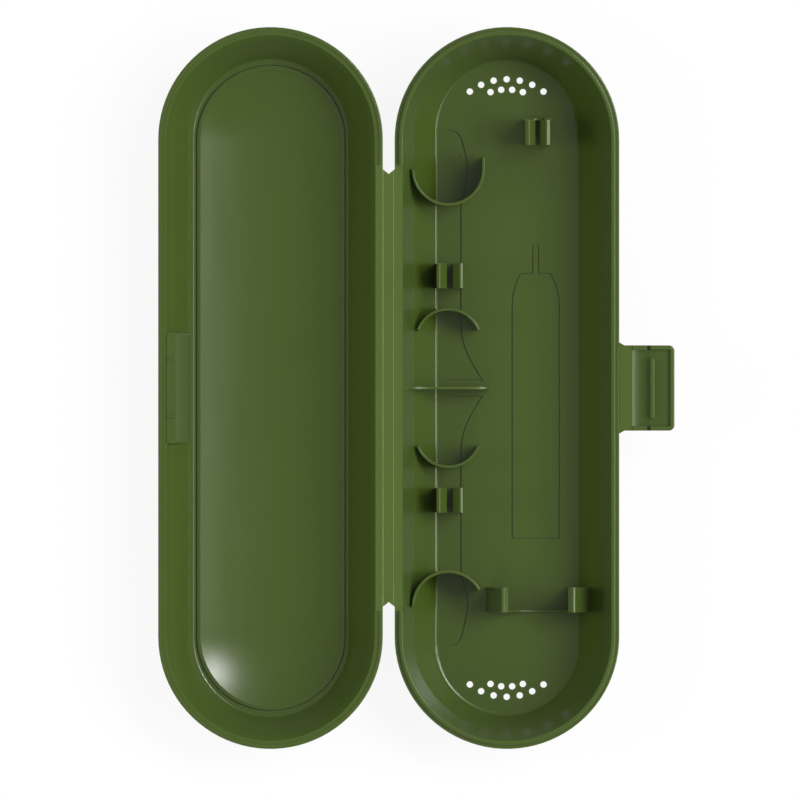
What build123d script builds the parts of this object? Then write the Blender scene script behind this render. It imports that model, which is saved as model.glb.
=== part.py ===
"""Travel case for an electric toothbrush and two brush heads, lying open.

Two slot-shaped halves lie side by side, joined by a thin folding web along one side.
The deeper half carries clips and cradles, and a folding latch tab on its free side.

Frame: +Y along the case, +X from the lid to the base and its latch, +Z up.
The origin is the centre of the base's flat underside. Sizes are millimetres.
"""

from build123d import *
from math import acos, asin, atan2, cos, degrees, radians, sin, sqrt, tan
import os

# ---------------------------------------------------------------- driving dimensions

# Both halves
case_length = 225.0  # over the rim
case_width = 70.0  # over the rim
half_depth = 21.0  # from the surface the case lies on to the rim plane
wall = 1.7  # moulded wall thickness
floor_thickness = 1.6
rim_band = 3.0  # height of the upright band round each rim
rim_edge_radius = 0.35
rim_under_radius = 0.7
rim_gap = 3.7  # between the two rims when the case lies open

# Base half
base_floor_side_inset = 12.7  # from the rim's outer edge to the flat floor, at the sides
base_floor_end_inset = 10.1  # and at the ends
base_mouth_inset = 2.6  # from the rim's outer edge to the cavity, all round
knee_height = 11.7  # where the wall changes slope
knee_inset = 3.2  # how far the wall leans in above the knee
floor_fillet = 1.4
knee_fillet = 3.0
underside_fillet = 4.0

# Sealing lip on the base and the shallow seat that meets it in the lid
lip_inset = 1.2
lip_width = 1.4
lip_height = 1.0
lip_edge_radius = 0.4
lip_clearance = 0.12  # beside the lip, in its seat
lip_gap = 0.1  # over the lip when the case is shut
seat_depth = 0.3

# Lid half
lid_mouth_inset = 2.3  # from the rim's outer edge to the cavity, all round
lid_bevel_width = 1.6  # bevel between the rim and the lid's wall
lid_bevel_drop = 2.2
lid_floor_side_inset = 10.8  # from the rim's outer edge to the flat floor, at the sides
lid_floor_end_inset = 9.8  # and at the ends
panel_side_margin = 1.3  # from the flat floor's edge to the domed panel, at the sides
panel_end_margin = 2.2  # and at the ends
panel_rise = 3.6  # how far the panel bulges out of the lid's floor
panel_border_width = 1.0  # flat border round the panel's hollow
panel_groove_width = 0.6
panel_groove_depth = 0.8
lid_floor_fillet = 0.6
lid_under_fillet = 2.0

# Folding web between the halves
hinge_length = 138.8
leaf_width = 2.1  # how far the web's edge strips lie on each rim
leaf_thickness = 0.8
film_thickness = 0.4
film_sink = 0.06  # the web's top lies this far below its edge strips
film_end_step = 1.2  # the web is this much shorter than its strips at each end
film_notch_depth = 1.5  # V-notch in each end of the web

# Latch tab on the base's free side
tab_width = 26.6
latch_film_length = 4.1
latch_film_thickness = 0.5
latch_root_flare = 0.9
latch_root_length = 1.6
tab_length = 13.1  # stiff part of the tab, past the folding film
tab_thickness = 1.6
tab_corner_radius = 1.75
tab_under_radius = 0.5
tab_border_width = 1.5
tab_border_height = 1.1
tab_border_radius = 0.5
tab_border_length = 7.6  # boxed end of the tab
tab_notch_length = 1.1
tab_notch_depth = 0.55
tab_rail_height = 0.35
tab_rail_radius = 0.15
tab_trough_depth = 0.6
catch_rib_offset = 5.5  # from the film's end to the rib that snaps over the lid's ledge
catch_rib_width = 1.4
catch_rib_length = 18.8
catch_rib_height = 1.5
catch_rib_radius = 0.35
latch_lean = 15.0  # degrees past upright when the latch is shut

# Latch pocket and catch ledge on the lid
pocket_length = 34.3
pocket_ridge_inset = 5.6  # from the rim's outer edge to the pushed-in wall's top
pocket_foot_margin = 0.5  # from the flat floor's edge to the pushed-in wall's foot
pocket_end_radius = 0.7
catch_ledge_length = 18.0
catch_ledge_inset = 1.0  # from the rim's outer edge
catch_clearance = 0.25
catch_draft = 0.45
catch_thickness = 1.3
catch_edge_radius = 0.25
locating_rib_width = 0.6
locating_rib_height = 0.5
locating_rib_spacing = 18.0
locating_rib_clearance = 0.25  # between the ribs and the base's mouth, seen from above
locating_rib_radius = 0.2

# Vent holes in both ends of the base's floor
vent_diameter = 2.0
vent_outer_radius = 19.1  # of the row of seven
vent_inner_radius = 15.9  # of the row of four
vent_angle = 12.35
vent_setback = 2.7  # of the rows' centre from that of the floor's round end

# Brush-head bay
brush_axis_inset = 16.7  # from the rim's outer edge
cradle_wall = 0.9
cradle_edge_radius = 0.3
end_cradle_radius = 11.0
end_cradle_inset = 44.25  # of its centre from the end of the rim
end_cradle_top = 16.0
end_cradle_arm = 3.7  # straight arm of the far cradle
near_cradle_gap = 1.75  # between the near end cradle and the foot of the handle clip
mid_cradle_radius = 10.2
mid_cradle_y = 14.4
mid_cradle_top = 12.6
mid_cradle_half_angle = 68.5
divider_thickness = 0.7
divider_reach = 13.3  # past the brush axis, towards the handle
divider_wall_top = 19.6
divider_top = 13.0
divider_tip_top = 9.6
brush_clip_shift = 0.5  # of the clips from the brush axis
brush_clip_y = 35.0
brush_neck_radius = 2.5
brush_neck_height = 11.4
brush_clip_gap = 0.95  # clip half-widths are measured from its middle
brush_clip_crest = 3.2
brush_clip_outer = 4.2
brush_clip_rise = 5.0  # from the bore's axis to the crest

# Toothbrush handle bay
handle_axis_inset = 25.25  # from the rim's outer edge
handle_radius = 11.0
handle_rest = 0.8  # height of the saddle rib under the handle
handle_clip_inset = 46.4  # of its middle from the end of the rim
neck_clip_inset = 32.8
neck_clip_shift = -0.15  # from the handle's axis
neck_radius = 2.1
neck_clip_gap = 0.75
neck_clip_crest = 2.7
neck_clip_outer = 4.0
neck_clip_rise = 4.4
neck_saddle_half_width = 4.4
handle_clip_gap = 9.4
handle_clip_crest = 10.8
handle_clip_outer = 11.6
handle_clip_rise = 7.0
handle_clip_left_foot = 16.25
handle_clip_right_foot = 18.2
clip_clearance = 0.1  # between a clip and what it holds
clip_length = 7.7
clip_edge_radius = 0.5
saddle_thickness = 0.6

# Shallow storage outlines in the base's floor
handle_outline_width = 0.5
brush_outline_width = 0.7
outline_depth = 0.45
handle_outline_shift = -0.75  # from the handle's axis
handle_outline_half_width = 7.35
handle_outline_bottom = -46.95
handle_outline_shoulder = 25.4
handle_outline_top = 35.8
handle_outline_crown = 4.65  # half-width of the handle's flat top
spindle_outline_half_width = 0.9
spindle_outline_top = 44.6
brush_outline_base = 2.5
brush_skirt_half_width = 10.5
brush_skirt_top = 20.5
brush_neck_half_width = 3.85
brush_head_foot = 57.3
brush_head_half_width = 5.9
brush_head_waist = 68.5
brush_shoulder_half_width = 4.5
brush_shoulder = 76.0
brush_head_tip = 80.5
bristle_dot_diameter = 0.5
bristle_dot_pitch = 2.6

# ---------------------------------------------------------------- derived values

rim_plane = half_depth
floor_top = floor_thickness
base_mouth_width = case_width - 2 * base_mouth_inset
base_mouth_length = case_length - 2 * base_mouth_inset
base_floor_width = case_width - 2 * base_floor_side_inset
base_floor_length = case_length - 2 * base_floor_end_inset
knee_width = base_mouth_width - 2 * knee_inset
knee_length = base_mouth_length - 2 * knee_inset

upper_lean = atan2(knee_inset, rim_plane - knee_height)
side_lean = atan2((knee_width - base_floor_width) / 2, knee_height - floor_top)
end_lean = atan2((knee_length - base_floor_length) / 2, knee_height - floor_top)

base_left_edge = -case_width / 2
base_right_edge = case_width / 2
lid_x = -(case_width + rim_gap)
lid_right_edge = lid_x + case_width / 2
lid_left_edge = lid_x - case_width / 2
hinge_axis_x = (base_left_edge + lid_right_edge) / 2
parting_gap = lip_height + lip_gap - seat_depth
hinge_axis_z = rim_plane + parting_gap / 2

lid_floor_width = case_width - 2 * lid_floor_side_inset
lid_floor_length = case_length - 2 * lid_floor_end_inset
panel_width = lid_floor_width - 2 * panel_side_margin
panel_length = lid_floor_length - 2 * panel_end_margin
panel_outer_radius = ((panel_width / 2) ** 2 + panel_rise**2) / (2 * panel_rise)
panel_centre_z = panel_outer_radius
panel_inner_radius = panel_outer_radius - wall
panel_straight = panel_length - panel_width
lid_floor_top = panel_centre_z - sqrt(panel_inner_radius**2 - (panel_width / 2) ** 2)
lid_floor_under = panel_rise
lid_mouth_width = case_width - 2 * lid_mouth_inset
lid_mouth_length = case_length - 2 * lid_mouth_inset
lid_bevel_z = rim_plane - lid_bevel_drop
lid_bevel_inset = lid_mouth_inset + lid_bevel_width
lid_wall_height = lid_bevel_z - lid_floor_top
lid_side_lean = atan2(lid_floor_side_inset - lid_bevel_inset, lid_wall_height)
lid_end_lean = atan2(lid_floor_end_inset - lid_bevel_inset, lid_wall_height)

latch_axis_x = base_right_edge + latch_film_length / 2
latch_axis_z = rim_plane - latch_film_thickness / 2
tab_start_x = base_right_edge + latch_film_length
tab_end_x = tab_start_x + tab_length
tab_box_x = tab_end_x - tab_border_length
tab_notch_x = tab_box_x - tab_notch_length
catch_rib_x = tab_start_x + catch_rib_offset

brush_axis_x = base_left_edge + brush_axis_inset
brush_clip_x = brush_axis_x + brush_clip_shift
end_cradle_y = case_length / 2 - end_cradle_inset
handle_axis_x = base_right_edge - handle_axis_inset
handle_axis_z = floor_top + handle_rest + handle_radius
handle_clip_y = handle_clip_inset - case_length / 2
handle_clip_left_x = handle_axis_x - handle_clip_left_foot
near_cradle_reach = handle_clip_left_x - near_cradle_gap - brush_axis_x
near_cradle_share = near_cradle_reach / (end_cradle_radius + cradle_wall / 2)
near_cradle_open_angle = degrees(acos(min(near_cradle_share, 1)))  # the arc stops by the clip
neck_clip_x = handle_axis_x + neck_clip_shift
neck_clip_y = case_length / 2 - neck_clip_inset
vent_centre_y = (base_floor_length - base_floor_width) / 2 - vent_setback


def level(height, centre_x=0.0):
    """A horizontal sketch plane over the centre of one case half."""
    return Plane(origin=(centre_x, 0, height))


def cross_section(middle_y):
    """An upright sketch plane across the case, with x to the right and y up."""
    return Plane(origin=(0, middle_y, 0), x_dir=(1, 0, 0), z_dir=(0, -1, 0))


def save(part, name):
    """Label one finished piece and write its STEP file."""
    part.label = name
    export_step(part, f"parts/{name}.step")


def sideways(lean):
    """Horizontal thickness of a wall that leans by an angle."""
    return wall / cos(lean)


def edges_at(part, height, tolerance=0.01):
    """The horizontal edges of a solid that lie at one height."""
    return part.edges().filter_by(
        lambda edge: abs(edge.bounding_box().min.Z - height) < tolerance
        and abs(edge.bounding_box().max.Z - height) < tolerance
    )


os.makedirs("parts", exist_ok=True)

# ---------------------------------------------------------------- base shell

with BuildPart() as base_cavity:
    with BuildSketch(level(floor_top)):
        SlotOverall(base_floor_length, base_floor_width, rotation=90)
    with BuildSketch(level(knee_height)):
        SlotOverall(knee_length, knee_width, rotation=90)
    with BuildSketch(level(rim_plane)):
        SlotOverall(base_mouth_length, base_mouth_width, rotation=90)
    loft(ruled=True)
    fillet(edges_at(base_cavity, knee_height), knee_fillet)
    fillet(edges_at(base_cavity, floor_top), floor_fillet)

# The outside follows the cavity at one wall's distance
base_under_width = base_floor_width + 2 * (sideways(side_lean) - floor_top * tan(side_lean))
base_under_length = base_floor_length + 2 * (sideways(end_lean) - floor_top * tan(end_lean))
outer_knee_width = knee_width + 2 * sideways(upper_lean)
outer_knee_length = knee_length + 2 * sideways(upper_lean)
outer_knee_height = knee_height - wall * tan((side_lean - upper_lean) / 2)
base_neck_inset = base_mouth_inset + rim_band * tan(upper_lean) - sideways(upper_lean)
base_neck_width = case_width - 2 * base_neck_inset
base_neck_length = case_length - 2 * base_neck_inset

with BuildPart() as base_rim:
    with BuildSketch(level(rim_plane - rim_band)):
        SlotOverall(case_length, case_width, rotation=90)
    extrude(amount=rim_band)
    fillet(edges_at(base_rim, rim_plane), rim_edge_radius)
    fillet(edges_at(base_rim, rim_plane - rim_band), rim_under_radius)

with BuildPart() as base_leaf_space:
    with BuildSketch(level(rim_plane - leaf_thickness)):
        with Locations((base_left_edge + leaf_width / 2, 0)):
            Rectangle(leaf_width, hinge_length)
    extrude(amount=leaf_thickness)

with BuildPart() as floor_outlines:
    # The handle with its drive spindle
    with BuildSketch(level(floor_top, handle_axis_x + handle_outline_shift)):
        with BuildLine():
            handle_side = Line(
                (handle_outline_half_width, handle_outline_bottom),
                (handle_outline_half_width, handle_outline_shoulder),
            )
            handle_crown = Spline(
                handle_side @ 1,
                (handle_outline_crown, handle_outline_top),
                tangents=[(0, 1), (-0.6, 1)],
            )
            Polyline(
                handle_crown @ 1,
                (spindle_outline_half_width, handle_outline_top),
                (spindle_outline_half_width, spindle_outline_top),
                (0, spindle_outline_top),
            )
            Line((0, handle_outline_bottom), handle_side @ 0)
        trace(line_width=handle_outline_width)
        mirror(about=Plane.YZ)
    # The near half of each brush head, base to base
    with BuildSketch(level(floor_top, brush_axis_x)):
        with BuildLine():
            brush_foot = Line((0, brush_outline_base), (brush_skirt_half_width, brush_outline_base))
            brush_skirt = Spline(
                brush_foot @ 1,
                (brush_neck_half_width, brush_skirt_top),
                tangents=[(-0.6, 1), (0, 1)],
            )
            brush_stem = Line(brush_skirt @ 1, (brush_neck_half_width, brush_head_foot))
            Spline(
                brush_stem @ 1,
                (brush_head_half_width, brush_head_waist),
                (brush_shoulder_half_width, brush_shoulder),
                (0, brush_head_tip),
                tangents=[(0.35, 1), (-1, 0)],
            )
        trace(line_width=brush_outline_width)
        mirror(about=Plane.XZ)
    extrude(amount=-outline_depth)
    # Bristle marks on the brush heads
    with BuildSketch(level(floor_top)):
        for side in (1, -1):
            with Locations((brush_axis_x + bristle_dot_pitch, side * brush_head_waist)):
                with GridLocations(bristle_dot_pitch, bristle_dot_pitch, 2, 4):
                    Circle(bristle_dot_diameter / 2)
    extrude(amount=-outline_depth)

with BuildPart() as base_shell:
    with BuildSketch(level(0)):
        SlotOverall(base_under_length, base_under_width, rotation=90)
    with BuildSketch(level(outer_knee_height)):
        SlotOverall(outer_knee_length, outer_knee_width, rotation=90)
    with BuildSketch(level(rim_plane - rim_band)):
        SlotOverall(base_neck_length, base_neck_width, rotation=90)
    loft(ruled=True)
    fillet(edges_at(base_shell, outer_knee_height), knee_fillet + wall)
    fillet(edges_at(base_shell, 0), underside_fillet)
    add(base_rim)
    add(base_cavity, mode=Mode.SUBTRACT)
    add(base_leaf_space, mode=Mode.SUBTRACT)
    add(floor_outlines, mode=Mode.SUBTRACT)
    with BuildSketch(level(floor_top)):
        for end_angle, side in ((90, 1), (-90, -1)):
            with Locations((0, side * vent_centre_y)):
                outer_start = end_angle - 3 * vent_angle
                with PolarLocations(vent_outer_radius, 7, outer_start, 7 * vent_angle):
                    Circle(vent_diameter / 2)
                inner_start = end_angle - 1.5 * vent_angle
                with PolarLocations(vent_inner_radius, 4, inner_start, 4 * vent_angle):
                    Circle(vent_diameter / 2)
    extrude(amount=-floor_thickness, mode=Mode.SUBTRACT)

save(base_shell.part, "base_shell")

# ---------------------------------------------------------------- sealing lip

with BuildPart() as base_rim_lip:
    with BuildSketch(level(rim_plane)):
        SlotOverall(case_length - 2 * lip_inset, case_width - 2 * lip_inset, rotation=90)
        SlotOverall(base_mouth_length, base_mouth_width, rotation=90, mode=Mode.SUBTRACT)
    extrude(amount=lip_height)
    fillet(edges_at(base_rim_lip, rim_plane + lip_height), lip_edge_radius)
    # The lip stops at the folding web's edge strip
    with BuildSketch(level(rim_plane)):
        with Locations((base_left_edge, 0)):
            Rectangle(2 * base_mouth_inset, hinge_length, align=(Align.CENTER, Align.CENTER))
    extrude(amount=lip_height, mode=Mode.SUBTRACT)

save(base_rim_lip.part, "base_rim_lip")

# ---------------------------------------------------------------- brush-head cradles


def cradle_wall_part(centre_y, radius, start_angle, sweep_angle, arm, top):
    """A thin standing arc round a brush head, which can run on as a straight arm."""
    outer_radius = radius + cradle_wall / 2
    inner_radius = radius - cradle_wall / 2
    with BuildPart() as cradle:
        with BuildSketch(level(floor_top)):
            with BuildLine(Plane(origin=(brush_axis_x, centre_y, floor_top))):
                outer_arc = CenterArc((0, 0), outer_radius, start_angle, sweep_angle)
                inner_arc = CenterArc((0, 0), inner_radius, start_angle, sweep_angle)
                Line(outer_arc @ 0, inner_arc @ 0)
                Line(outer_arc @ 1, inner_arc @ 1)
            make_face()
            if arm > 0:
                with Locations((brush_axis_x + radius, centre_y + arm / 2)):
                    Rectangle(cradle_wall, arm)
        extrude(amount=top - floor_top)
        fillet(edges_at(cradle, top), cradle_edge_radius)
        add(base_cavity, mode=Mode.INTERSECT)
    return cradle.part


def end_cradle(side, open_angle, arm):
    """A cradle for the round end of a brush head, open towards the end of the case."""
    start_angle = 180 if side > 0 else open_angle
    sweep_angle = 180 - open_angle
    return cradle_wall_part(
        side * end_cradle_y, end_cradle_radius, start_angle, sweep_angle, arm, end_cradle_top
    )


def mid_cradle(side):
    """A cradle for the foot of a brush head, open towards the divider."""
    start_angle = side * 90 - mid_cradle_half_angle
    sweep_angle = 2 * mid_cradle_half_angle
    return cradle_wall_part(
        side * mid_cradle_y, mid_cradle_radius, start_angle, sweep_angle, 0, mid_cradle_top
    )


save(end_cradle(1, 0, end_cradle_arm), "brush_end_cradle_upper")
save(end_cradle(-1, near_cradle_open_angle, 0), "brush_end_cradle_lower")
save(mid_cradle(1), "brush_mid_cradle_upper")
save(mid_cradle(-1), "brush_mid_cradle_lower")

# ---------------------------------------------------------------- divider between the brushes

with BuildPart() as brush_divider:
    with BuildSketch(cross_section(divider_thickness / 2)):
        with BuildLine():
            divider_end_x = brush_axis_x + divider_reach
            foot = Line((-base_mouth_width / 2, floor_top), (divider_end_x, floor_top))
            tip = Line(foot @ 1, (divider_end_x, divider_tip_top))
            level_x = brush_axis_x + divider_reach / 3
            shoulder = Spline(tip @ 1, (level_x, divider_top), tangents=[(-0.6, 1), (-1, 0)])
            ridge = Line(shoulder @ 1, (brush_axis_x - divider_reach / 3, divider_top))
            rise = Spline(
                ridge @ 1,
                (-base_mouth_width / 2, divider_wall_top),
                tangents=[(-1, 0), (-0.5, 1)],
            )
            Line(rise @ 1, foot @ 0)
        make_face()
    extrude(amount=divider_thickness)
    add(base_cavity, mode=Mode.INTERSECT)

save(brush_divider.part, "brush_divider")

# ---------------------------------------------------------------- spring clips


def clip_prong(side, centre_x, centre_y, axis_z, bore, gap, crest, crest_z, outer, foot):
    """One of a clip's two springy prongs.

    Half-widths are measured from the clip's middle: `gap` at the prong's nose, `crest` at the
    top of its entry slope, `outer` and `foot` down its back. The bore's axis is at axis_z.
    """
    nose_rise = sqrt(bore**2 - gap**2)
    middle = cross_section(centre_y + clip_length / 2)
    with BuildPart() as prong:
        with BuildSketch(middle):
            with BuildLine():
                inner_foot = Line(
                    (centre_x + side * gap, floor_top),
                    (centre_x + side * gap, axis_z - nose_rise),
                )
                ThreePointArc(
                    inner_foot @ 1,
                    (centre_x + side * bore, axis_z),
                    (centre_x + side * gap, axis_z + nose_rise),
                )
                Polyline(
                    (centre_x + side * gap, axis_z + nose_rise),
                    (centre_x + side * crest, crest_z),
                    (centre_x + side * outer, crest_z - (outer - crest) / 2),
                    (centre_x + side * foot, floor_top),
                    (centre_x + side * gap, floor_top),
                )
            make_face()
        extrude(amount=clip_length)
        crest_edges = prong.edges().filter_by(Axis.Y).sort_by(Axis.Z)[-2:]
        fillet(crest_edges, clip_edge_radius)
        add(base_cavity, mode=Mode.INTERSECT)
    return prong.part


for place, side_y in (("upper", 1), ("lower", -1)):
    for hand, side_x in (("left", -1), ("right", 1)):
        brush_prong = clip_prong(
            side=side_x,
            centre_x=brush_clip_x,
            centre_y=side_y * brush_clip_y,
            axis_z=brush_neck_height,
            bore=brush_neck_radius + clip_clearance,
            gap=brush_clip_gap,
            crest=brush_clip_crest,
            crest_z=brush_neck_height + brush_clip_rise,
            outer=brush_clip_outer,
            foot=brush_clip_outer,
        )
        save(brush_prong, f"brush_clip_{place}_{hand}")

for hand, side_x, handle_clip_foot in (
    ("left", -1, handle_clip_left_foot),
    ("right", 1, handle_clip_right_foot),
):
    neck_prong = clip_prong(
        side=side_x,
        centre_x=neck_clip_x,
        centre_y=neck_clip_y,
        axis_z=handle_axis_z,
        bore=neck_radius + clip_clearance,
        gap=neck_clip_gap,
        crest=neck_clip_crest,
        crest_z=handle_axis_z + neck_clip_rise,
        outer=neck_clip_outer,
        foot=neck_clip_outer,
    )
    save(neck_prong, f"neck_clip_{hand}")
    handle_prong = clip_prong(
        side=side_x,
        centre_x=handle_axis_x,
        centre_y=handle_clip_y,
        axis_z=handle_axis_z,
        bore=handle_radius + clip_clearance,
        gap=handle_clip_gap,
        crest=handle_clip_crest,
        crest_z=handle_axis_z + handle_clip_rise,
        outer=handle_clip_outer,
        foot=handle_clip_foot,
    )
    save(handle_prong, f"handle_clip_{hand}")

# ---------------------------------------------------------------- saddle ribs under the brush

with BuildPart() as neck_saddle:
    with BuildSketch(cross_section(neck_clip_y + clip_length / 2)):
        with Locations((neck_clip_x, floor_top)):
            Rectangle(
                2 * neck_saddle_half_width,
                handle_axis_z - floor_top,
                align=(Align.CENTER, Align.MIN),
            )
        with Locations((neck_clip_x, handle_axis_z)):
            Circle(neck_radius + clip_clearance, mode=Mode.SUBTRACT)
    extrude(amount=-saddle_thickness)
    add(base_cavity, mode=Mode.INTERSECT)

save(neck_saddle.part, "neck_saddle")

with BuildPart() as handle_saddle:
    with BuildSketch(cross_section(handle_clip_y - clip_length / 2)):
        with Locations((handle_axis_x, floor_top)):
            Rectangle(
                2 * handle_clip_gap,
                handle_axis_z - floor_top,
                align=(Align.CENTER, Align.MIN),
            )
        with Locations((handle_axis_x, handle_axis_z)):
            Circle(handle_radius + clip_clearance, mode=Mode.SUBTRACT)
    extrude(amount=-saddle_thickness)
    # Only the crescent under the handle is kept
    with BuildSketch(cross_section(handle_clip_y - clip_length / 2)):
        with Locations((handle_axis_x, floor_top)):
            Rectangle(
                2 * handle_clip_gap,
                handle_axis_z - floor_top - sqrt(
                    (handle_radius + clip_clearance) ** 2 - handle_clip_gap**2
                ),
                align=(Align.CENTER, Align.MIN),
            )
    extrude(amount=-saddle_thickness, mode=Mode.INTERSECT)

save(handle_saddle.part, "handle_saddle")

# ---------------------------------------------------------------- folding web


def leaf(edge_x, inward):
    """One edge strip of the folding web, let into a rim from its outer edge."""
    with BuildPart() as strip:
        with BuildSketch(level(rim_plane - leaf_thickness)):
            with Locations((edge_x + inward * leaf_width / 2, 0)):
                Rectangle(leaf_width, hinge_length)
        extrude(amount=leaf_thickness)
    return strip.part


save(leaf(base_left_edge, 1), "hinge_leaf_base")
save(leaf(lid_right_edge, -1), "hinge_leaf_lid")

with BuildPart() as hinge_film:
    film_half = hinge_length / 2 - film_end_step
    with BuildSketch(level(rim_plane - film_sink)):
        with BuildLine(level(rim_plane - film_sink, hinge_axis_x)):
            Polyline(
                (-rim_gap / 2, -film_half),
                (0, -film_half + film_notch_depth),
                (rim_gap / 2, -film_half),
                (rim_gap / 2, film_half),
                (0, film_half - film_notch_depth),
                (-rim_gap / 2, film_half),
                close=True,
            )
        make_face()
    extrude(amount=-film_thickness)

save(hinge_film.part, "hinge_film")

# ---------------------------------------------------------------- lid

lid_under_width = lid_floor_width + 2 * (
    sideways(lid_side_lean) - (lid_floor_top - lid_floor_under) * tan(lid_side_lean)
)
lid_under_length = lid_floor_length + 2 * (
    sideways(lid_end_lean) - (lid_floor_top - lid_floor_under) * tan(lid_end_lean)
)
lid_side_slope = tan(lid_side_lean)
lid_wall_inset = lid_bevel_inset - lid_bevel_drop * lid_side_slope  # drawn on to the rim plane
lid_back_inset = lid_wall_inset - sideways(lid_side_lean)
lid_neck_inset = lid_back_inset + rim_band * lid_side_slope
seat_outer_inset = lip_inset - lip_clearance
seat_inner_inset = lip_inset + lip_width + lip_clearance

# The pushed-in wall over the latch, as seen in a section across the lid
pocket_foot_inset = lid_floor_side_inset - pocket_foot_margin
pocket_foot_drop = (pocket_foot_inset - lid_wall_inset) / lid_side_slope
pocket_slope = (pocket_foot_inset - pocket_ridge_inset) / pocket_foot_drop
pocket_wall = wall * sqrt(1 + pocket_slope**2)
pocket_back_inset = pocket_ridge_inset - pocket_wall
pocket_back_drop = (pocket_back_inset - lid_back_inset) / (lid_side_slope - pocket_slope)

with BuildPart() as lid_cavity:
    with BuildSketch(level(lid_floor_top, lid_x)):
        SlotOverall(lid_floor_length, lid_floor_width, rotation=90)
    with BuildSketch(level(lid_bevel_z, lid_x)):
        SlotOverall(
            case_length - 2 * lid_bevel_inset,
            case_width - 2 * lid_bevel_inset,
            rotation=90,
        )
    with BuildSketch(level(rim_plane, lid_x)):
        SlotOverall(lid_mouth_length, lid_mouth_width, rotation=90)
    loft(ruled=True)
    fillet(edges_at(lid_cavity, lid_floor_top), lid_floor_fillet)

with BuildPart() as lid_rim:
    with BuildSketch(level(rim_plane - rim_band, lid_x)):
        SlotOverall(case_length, case_width, rotation=90)
    extrude(amount=rim_band)
    fillet(edges_at(lid_rim, rim_plane), rim_edge_radius)
    fillet(edges_at(lid_rim, rim_plane - rim_band), rim_under_radius)

with BuildPart() as latch_block:
    with BuildSketch(cross_section(0)):
        with BuildLine():
            Polyline(
                (lid_left_edge + lid_mouth_inset - wall / 2, rim_plane),
                (lid_left_edge + pocket_ridge_inset, rim_plane),
                (lid_left_edge + pocket_foot_inset, rim_plane - pocket_foot_drop),
                (lid_left_edge + pocket_foot_inset - wall / 2, rim_plane - pocket_foot_drop),
                close=True,
            )
        make_face()
    extrude(amount=pocket_length / 2, both=True)
    pushed_face = latch_block.faces().filter_by(lambda face: face.normal_at().X > 0.5)
    end_edges = pushed_face.edges().filter_by(lambda edge: abs(edge.center().Y) > pocket_length / 4)
    fillet(end_edges, pocket_end_radius)

with BuildPart() as latch_pocket:
    with BuildSketch(cross_section(0)):
        with BuildLine():
            band_slope_x = pocket_back_inset + rim_band * pocket_slope
            Polyline(
                (lid_left_edge + lid_back_inset, rim_plane - rim_band),
                (lid_left_edge + band_slope_x, rim_plane - rim_band),
                (
                    lid_left_edge + pocket_back_inset + pocket_back_drop * pocket_slope,
                    rim_plane - pocket_back_drop,
                ),
                (
                    lid_left_edge + lid_back_inset,
                    rim_plane - pocket_back_drop,
                ),
                close=True,
            )
        make_face()
    extrude(amount=pocket_length / 2 - wall, both=True)

with BuildPart() as lid_shell:
    with BuildSketch(level(lid_floor_under, lid_x)):
        SlotOverall(lid_under_length, lid_under_width, rotation=90)
    with BuildSketch(level(rim_plane - rim_band, lid_x)):
        SlotOverall(case_length - 2 * lid_neck_inset, case_width - 2 * lid_neck_inset, rotation=90)
    loft(ruled=True)
    fillet(edges_at(lid_shell, lid_floor_under), lid_under_fillet)
    add(lid_rim)
    add(lid_cavity, mode=Mode.SUBTRACT)
    add(latch_block)
    add(latch_pocket, mode=Mode.SUBTRACT)
    # Opening that the domed panel fills
    with BuildSketch(level(0, lid_x)):
        SlotOverall(panel_length, panel_width, rotation=90)
    extrude(amount=lid_floor_top, mode=Mode.SUBTRACT)
    # Shadow line round the panel
    with BuildSketch(level(lid_floor_top, lid_x)):
        SlotOverall(
            panel_length + 2 * panel_groove_width,
            panel_width + 2 * panel_groove_width,
            rotation=90,
        )
    extrude(amount=-panel_groove_depth, mode=Mode.SUBTRACT)
    # Seat for the sealing lip, which stops at the folding web
    with BuildSketch(level(rim_plane, lid_x)):
        SlotOverall(
            case_length - 2 * seat_outer_inset,
            case_width - 2 * seat_outer_inset,
            rotation=90,
        )
        SlotOverall(
            case_length - 2 * seat_inner_inset,
            case_width - 2 * seat_inner_inset,
            rotation=90,
            mode=Mode.SUBTRACT,
        )
        with Locations((case_width / 2, 0)):
            Rectangle(
                2 * lid_mouth_inset,
                hinge_length - 2 * lip_clearance,
                mode=Mode.SUBTRACT,
            )
    extrude(amount=-seat_depth, mode=Mode.SUBTRACT)
    with BuildSketch(level(rim_plane, lid_x)):
        with Locations((case_width / 2 - leaf_width / 2, 0)):
            Rectangle(leaf_width, hinge_length)
    extrude(amount=-leaf_thickness, mode=Mode.SUBTRACT)

save(lid_shell.part, "lid_shell")

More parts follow.
